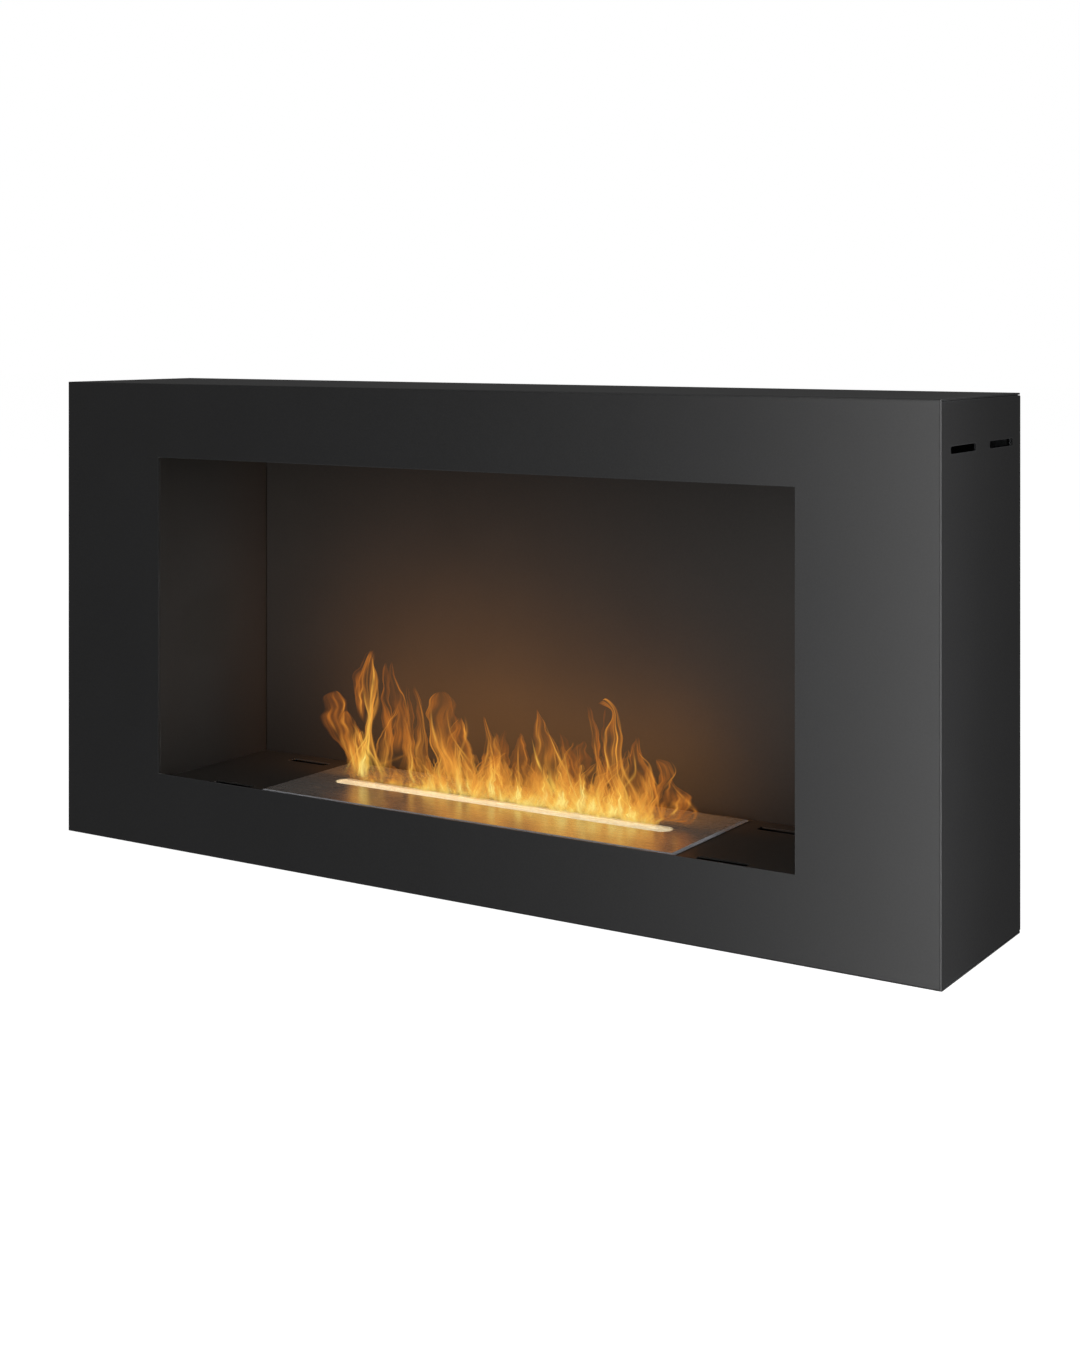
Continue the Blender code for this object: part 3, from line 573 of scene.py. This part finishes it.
RIGHT_TONGUES = (
    (((-30, 69), (-25, 85), (-21, 101), (-18, 118), (-19, 142)),
     ((10, 69), (5, 88), (-2, 106), (-9, 124), (-19, 142)), 0, 0.52, 0.52, (0.5, 0.4)),
    (((-22, 76), (-14, 100), (-8, 117), (3, 132)),
     ((14, 69), (7, 90), (4, 108), (3, 132)), 3, 0.26, 0.40, (0.1, 0.5)),
    (((8, 69), (6, 90), (11, 109), (19, 121), (21, 132)),
     ((40, 69), (34, 88), (28, 110), (26, 124), (21, 132)), -2, 0.40, 0.44, (0.3, 0.4)),
    (((14, 69), (27, 98), (35, 120), (36, 138), (38, 154)),
     ((88, 69), (76, 90), (62, 111), (54, 126), (46, 139), (38, 154)), 1, 0.52, 0.46, (0.4, 0.7)),
    (((54, 74), (61, 103), (59, 120), (60, 135)),
     ((88, 76), (80, 106), (72, 121), (60, 135)), 4, 0.20, 0.34, (0.1, 0.2)),
    (((64, 80), (69, 108), (75, 121), (86, 132)),
     ((104, 80), (96, 104), (91, 118), (86, 132)), -1, 0.24, 0.34, (0.1, 0.3)),
    (((100, 74), (99, 103), (95, 125), (94, 142), (89, 162)),
     ((116, 74), (107, 105), (102, 121), (99, 138), (95, 152), (89, 162)), 2, 0.28, 0.50, (0.4, 0.5)),
    (((116, 69), (111, 93), (105, 115), (105, 138), (111, 152), (112, 161), (102, 166)),
     ((152, 69), (139, 96), (128, 116), (129, 138), (125, 155), (118, 167), (110, 171), (102, 166)),
     0, 0.52, 0.70, (0.8, 0.7)),
    (((112, 90), (102, 118), (102, 140), (107, 162)),
     ((122, 90), (109, 118), (107, 140), (107, 162)), 4, 0.06, 0.32, (0.4, 0)),
    (((132, 72), (127, 98), (130, 122), (139, 141)),
     ((166, 69), (161, 90), (156, 104), (153, 116), (144, 125), (139, 141)), 2, 0.36, 0.46, (0.2, 0.9)),
    (((146, 69), (150, 84), (157, 98), (163, 111), (160, 124)),
     ((170, 69), (163, 84), (168, 102), (177, 113), (172, 122), (160, 124)), -2, 0.36, 0.46, (0.3, 0.7)),
    (((156, 69), (160, 86), (164, 98), (171, 109)),
     ((182, 76), (192, 92), (180, 100), (171, 109)), 3, 0.30, 0.44, (0.4, 0.7)),
    (((158, 69), (166, 78), (176, 86), (186, 90)),
     ((178, 74), (190, 71), (197, 81), (186, 90)), 0, 0.12, 0.40, (0.2, 0.6)),
)

# Bright threads, in millimetres: points, half width, then heat and cover
THREADS = (
    (((-177, 69), (-169, 83), (-158, 98), (-149, 111), (-146, 130), (-141, 150), (-138, 166)),
     2.6, 0.80, 0.85),
    (((-128, 69), (-137, 84), (-146, 94), (-156, 103), (-163, 114), (-166, 124)), 2.4, 0.78, 0.85),
    (((-150, 71), (-156, 88), (-151, 104), (-148, 122), (-153, 140), (-157, 156)), 3.0, 0.85, 0.85),
    (((-140, 74), (-146, 88), (-154, 100), (-152, 118), (-144, 138), (-139, 156)), 2.2, 0.72, 0.75),
    (((-166, 82), (-180, 104), (-191, 119), (-198, 133)), 2.2, 0.48, 0.65),
    (((-120, 69), (-132, 82), (-142, 97), (-146, 112), (-145, 128)), 3.0, 0.66, 0.6),
    (((-164, 69), (-158, 84), (-160, 98), (-166, 112)), 2.6, 0.62, 0.6),
    (((-150, 120), (-146, 140), (-150, 156), (-147, 176), (-145, 190)), 2.4, 0.45, 0.7),
    (((-146, 116), (-139, 134), (-136, 152), (-140, 170)), 2.6, 0.55, 0.7),
    (((-161, 84), (-170, 100), (-177, 116), (-180, 128)), 2.0, 0.45, 0.6),
    (((-100, 116), (-108, 148), (-114, 157), (-121, 170), (-125, 184)), 1.5, 0.42, 0.8),
    (((-140, 84), (-116, 93), (-104, 101), (-98, 116)), 1.8, 0.5, 0.65),
    (((-86, 69), (-97, 95), (-99, 112), (-107, 135)), 1.8, 0.55, 0.7),
    (((-66, 69), (-80, 96), (-84, 118), (-88, 142), (-97, 165)), 1.8, 0.5, 0.65),
    (((-46, 70), (-62, 88), (-70, 108), (-77, 128), (-78, 148)), 2.6, 0.76, 0.85),
    (((-22, 84), (-42, 103), (-58, 122), (-62, 145)), 2.0, 0.66, 0.8),
    (((-62, 74), (-50, 92), (-43, 106), (-36, 126), (-38, 142)), 2.4, 0.66, 0.7),
    (((-20, 72), (-30, 86), (-42, 102), (-50, 112)), 2.6, 0.8, 0.8),
    (((6, 70), (-4, 90), (-10, 108), (-16, 128)), 2.4, 0.7, 0.8),
    (((-20, 74), (-6, 96), (-4, 112), (-12, 132)), 2.2, 0.68, 0.7),
    (((34, 70), (22, 90), (20, 110), (21, 130)), 2.0, 0.64, 0.7),
    (((58, 80), (46, 96), (38, 111), (32, 130)), 2.3, 0.85, 0.85),
    (((52, 78), (56, 104), (55, 128)), 1.8, 0.6, 0.7),
    (((88, 74), (72, 94), (61, 110), (50, 130), (42, 146)), 2.2, 0.72, 0.8),
    (((84, 76), (74, 96), (68, 122)), 2.5, 0.9, 0.85),
    (((110, 80), (102, 106), (98, 132), (92, 156)), 1.8, 0.55, 0.7),
    (((124, 82), (114, 104), (107, 124), (107, 142)), 2.0, 0.74, 0.8),
    (((150, 76), (132, 98), (122, 118), (122, 142), (117, 164)), 2.6, 0.7, 0.8),
    (((124, 90), (134, 102), (140, 112), (138, 132)), 2.4, 0.72, 0.7),
    (((150, 70), (128, 84), (119, 96)), 2.2, 0.85, 0.8),
    (((164, 96), (155, 106), (152, 118), (142, 127), (138, 142)), 1.6, 0.55, 0.8),
    (((146, 69), (156, 84), (166, 100), (176, 114), (170, 124)), 1.8, 0.6, 0.8),
    (((196, 88), (180, 101), (170, 112)), 1.9, 0.5, 0.6),
    (((158, 69), (166, 78), (176, 87), (188, 91), (198, 83), (190, 71), (180, 76)), 2.8, 0.42, 0.42),
)


# Where the fire is hottest, in millimetres: X, top Z and half width of a small bright tongue
HOT_SPOTS = (
    (-152, 116, 7), (-44, 116, 7), (-8, 108, 6), (20, 98, 6), (50, 108, 7), (66, 104, 8),
    (88, 112, 9), (98, 98, 7), (118, 96, 8), (126, 108, 5), (136, 92, 6),
)
HOT_ROOT = 70
LOW_FLAMES_LEFT = -172
LOW_FLAMES_RUN = 330


def hot_spot(sheet, x, top, half, seed):
    """Adds a small bright tongue whose tip leans a little to the left."""
    edges = []
    for side in (-1, 1):
        waist = (x + side * 0.9 * half, 0.6 * HOT_ROOT + 0.4 * top)
        edges.append(((x + side * half, HOT_ROOT), waist, (x - 2, top)))
    veil(sheet, *edges, depth=-4, heat=0.96, cover=0.85, rims=(0.1, 0.1), seed=seed)


def tall_flames():
    sheet = new_sheet()
    for number, (left, right, depth, heat, cover, rims) in enumerate(LEFT_TONGUES + RIGHT_TONGUES):
        veil(sheet, left, right, depth, heat, 1.3 * cover, rims, 3.7 + 2.3 * number)
    for number, (points, width, heat, cover) in enumerate(THREADS):
        filament(sheet, points, width, heat, 0.85 * cover, 5.1 + 1.9 * number, depth=-3 + 2.1 * (number % 4))
    for number, (x, top, half) in enumerate(HOT_SPOTS):
        hot_spot(sheet, x, top, half, 60.3 + 3.1 * number)
    finish_sheet("flames_tall", sheet)


def low_flames(name, count, low, high, half, seed, heat, cover):
    """Short crossing tongues at the foot of the fire, lower and fainter towards its two ends."""
    sheet = new_sheet()
    draws = random.Random(seed)
    for _ in range(count):
        x = LOW_FLAMES_LEFT + LOW_FLAMES_RUN * draws.random() ** 0.82
        rich = 0.35 + 0.65 * smooth_step(-118, -70, x) * (1 - 0.6 * smooth_step(128, 158, x))
        tall = draws.uniform(low, high) * rich
        width = half * draws.uniform(0.6, 1.4)
        lean = draws.uniform(-0.65, 0.65) * tall
        bow = draws.uniform(-0.25, 0.25) * tall
        foot = FLAME_FOOT / MM
        edges = []
        for side in (-1, 1):
            waist = (x + 0.4 * lean + side * width * 0.9 + bow, foot + 0.45 * tall)
            neck = (x + 0.8 * lean + side * width * 0.4 + 0.5 * bow, foot + 0.8 * tall)
            edges.append(((x + side * width, foot), waist, neck, (x + lean, foot + tall)))
        depth = draws.uniform(-5, 5)
        warmth = heat * draws.uniform(0.75, 1.2) * (0.6 + 0.4 * rich)
        thickness = cover * draws.uniform(0.7, 1.2) * (0.4 + 0.6 * rich)
        rims = (draws.random(), draws.random())
        veil(sheet, *edges, depth, warmth, thickness, rims, draws.uniform(0, 90), root_cover=0.3,
             across=16, along=30)
    finish_sheet(name, sheet)


# ---------------------------------------------------------------- stage, lights and camera

def add_floor(size):
    bm = bmesh.new()
    bmesh.ops.create_grid(bm, x_segments=2, y_segments=2, size=size / 2)
    mesh = bpy.data.meshes.new("floor")
    bm.to_mesh(mesh)
    bm.free()
    mesh.materials.append(plain_floor("pale floor"))
    floor = bpy.data.objects.new("floor", mesh)
    bpy.context.scene.collection.objects.link(floor)
    floor.location.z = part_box("outer_case")[0].z - 0.0005
    floor.visible_glossy = False
    floor.visible_diffuse = False
    floor.visible_shadow = False


def add_world(seen, front, rear):
    """White where the camera sees it; what lights the object is dimmer, and dimmest behind it."""
    world = bpy.data.worlds.new("studio")
    bpy.context.scene.world = world
    world.use_nodes = True
    tree = world.node_tree
    tree.nodes.clear()
    output = tree.nodes.new("ShaderNodeOutputWorld")
    pick = tree.nodes.new("ShaderNodeMixShader")
    path = tree.nodes.new("ShaderNodeLightPath")
    place = tree.nodes.new("ShaderNodeTexCoord")
    split = tree.nodes.new("ShaderNodeSeparateXYZ")
    fade = tree.nodes.new("ShaderNodeMapRange")
    for socket, number in zip(fade.inputs[1:5], (-0.3, 0.3, front, rear)):
        socket.default_value = number
    skies = [tree.nodes.new("ShaderNodeBackground") for _ in range(2)]
    skies[1].inputs["Strength"].default_value = seen
    tree.links.new(place.outputs["Generated"], split.inputs[0])
    tree.links.new(split.outputs["Y"], fade.inputs[0])
    tree.links.new(fade.outputs[0], skies[0].inputs["Strength"])
    for slot, sky in enumerate(skies, 1):
        sky.inputs["Color"].default_value = (1, 1, 1, 1)
        tree.links.new(sky.outputs[0], pick.inputs[slot])
    tree.links.new(path.outputs["Is Camera Ray"], pick.inputs[0])
    tree.links.new(pick.outputs[0], output.inputs["Surface"])


def add_softbox(name, place, target, width, height, power, colour=(1, 1, 1)):
    light = bpy.data.lights.new(name, "AREA")
    light.shape = "RECTANGLE"
    light.size, light.size_y = width, height
    light.energy = power
    light.color = colour
    lamp = bpy.data.objects.new(name, light)
    lamp.location = place
    lamp.rotation_euler = (Vector(target) - Vector(place)).to_track_quat("-Z", "Y").to_euler()
    bpy.context.scene.collection.objects.link(lamp)
    lamp.visible_camera = False
    return lamp


def add_fire_light(name, place, target, width, height, power):
    """The flames' light on a wall, without a reflected patch of its own."""
    lamp = add_softbox(name, place, target, width, height, power, (1.0, 0.40, 0.08))
    lamp.visible_glossy = False
    return lamp


def add_camera():
    view = bpy.data.cameras.new("camera")
    view.lens = 53.824
    view.shift_y = -0.25757
    view.clip_end = 50
    camera = bpy.data.objects.new("camera", view)
    camera.location = (0.99934, -1.51268, 0.49337)
    camera.rotation_euler = (math.radians(90), 0, math.radians(32.338))
    bpy.context.scene.collection.objects.link(camera)
    bpy.context.scene.camera = camera


# the wool with its painted glow, standing in for the flames' light on the strips and fibres
PAINTED_GLOW_WOOL = wool("ceramic wool, lit", 0.40)
FIRE = fire("flame")
SLOT_Y = (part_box("wool_strip_long")[0].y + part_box("wool_strip_long")[1].y) / 2
FLAME_Y = SLOT_Y + 8.5 * MM
FLAME_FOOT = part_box("wool_strip_long")[1].z - 0.3 * MM

RIGHT_EDGE = (0.45, -0.09, 0.22)

finish_cad_nodes()
wool_strip("wool_long", "wool_strip_long", end=1, stations=520)
wool_strip("wool_short", "wool_strip_short", end=-1, stations=40)
loose_fibres("wool_fibres", count=240, draws=random.Random(5))
tall_flames()
low_flames("flames_middle", count=60, low=30, high=62, half=8, seed=21, heat=0.66, cover=0.42)
low_flames("flames_low", count=80, low=12, high=34, half=5, seed=34, heat=0.80, cover=0.42)
low_flames("flames_foot", count=110, low=7, high=18, half=5, seed=55, heat=0.86, cover=0.40)

add_floor(size=30)
add_world(seen=1.0, front=0.12, rear=0.10)
add_softbox("front softbox", (0.0, -2.6, 0.2), (0.35, 0, 0.2), width=0.5, height=4.0, power=54.5)
add_softbox("overhead softbox", (0.0, -0.4, 3.0), (0, 0, 0), width=3.0, height=3.0, power=15)
add_softbox("side softbox", (0.56, -0.09, 0.22), RIGHT_EDGE, width=0.02, height=1.6, power=1.5)
add_softbox("edge softbox", (1.86, -0.6, 0.22), RIGHT_EDGE, width=0.3, height=2.0, power=11)
fill = add_softbox("firebox fill", (0.31, -0.02, 0.21), (-0.33, -0.02, 0.20),
                   width=0.05, height=0.26, power=0.10)
fill.data.spread = math.radians(30)
fill.visible_glossy = False
add_fire_light("low fire on the back wall", (-0.01, 0.004, 0.12), (-0.01, 0.07, 0.12),
               width=0.38, height=0.06, power=0.69)
add_fire_light("tall fire on the back wall", (-0.10, -0.03, 0.19), (-0.10, 0.07, 0.19),
               width=0.24, height=0.08, power=0.30)
add_camera()
bpy.context.scene.view_settings.view_transform = "Standard"
bpy.context.scene.cycles.transparent_max_bounces = 40
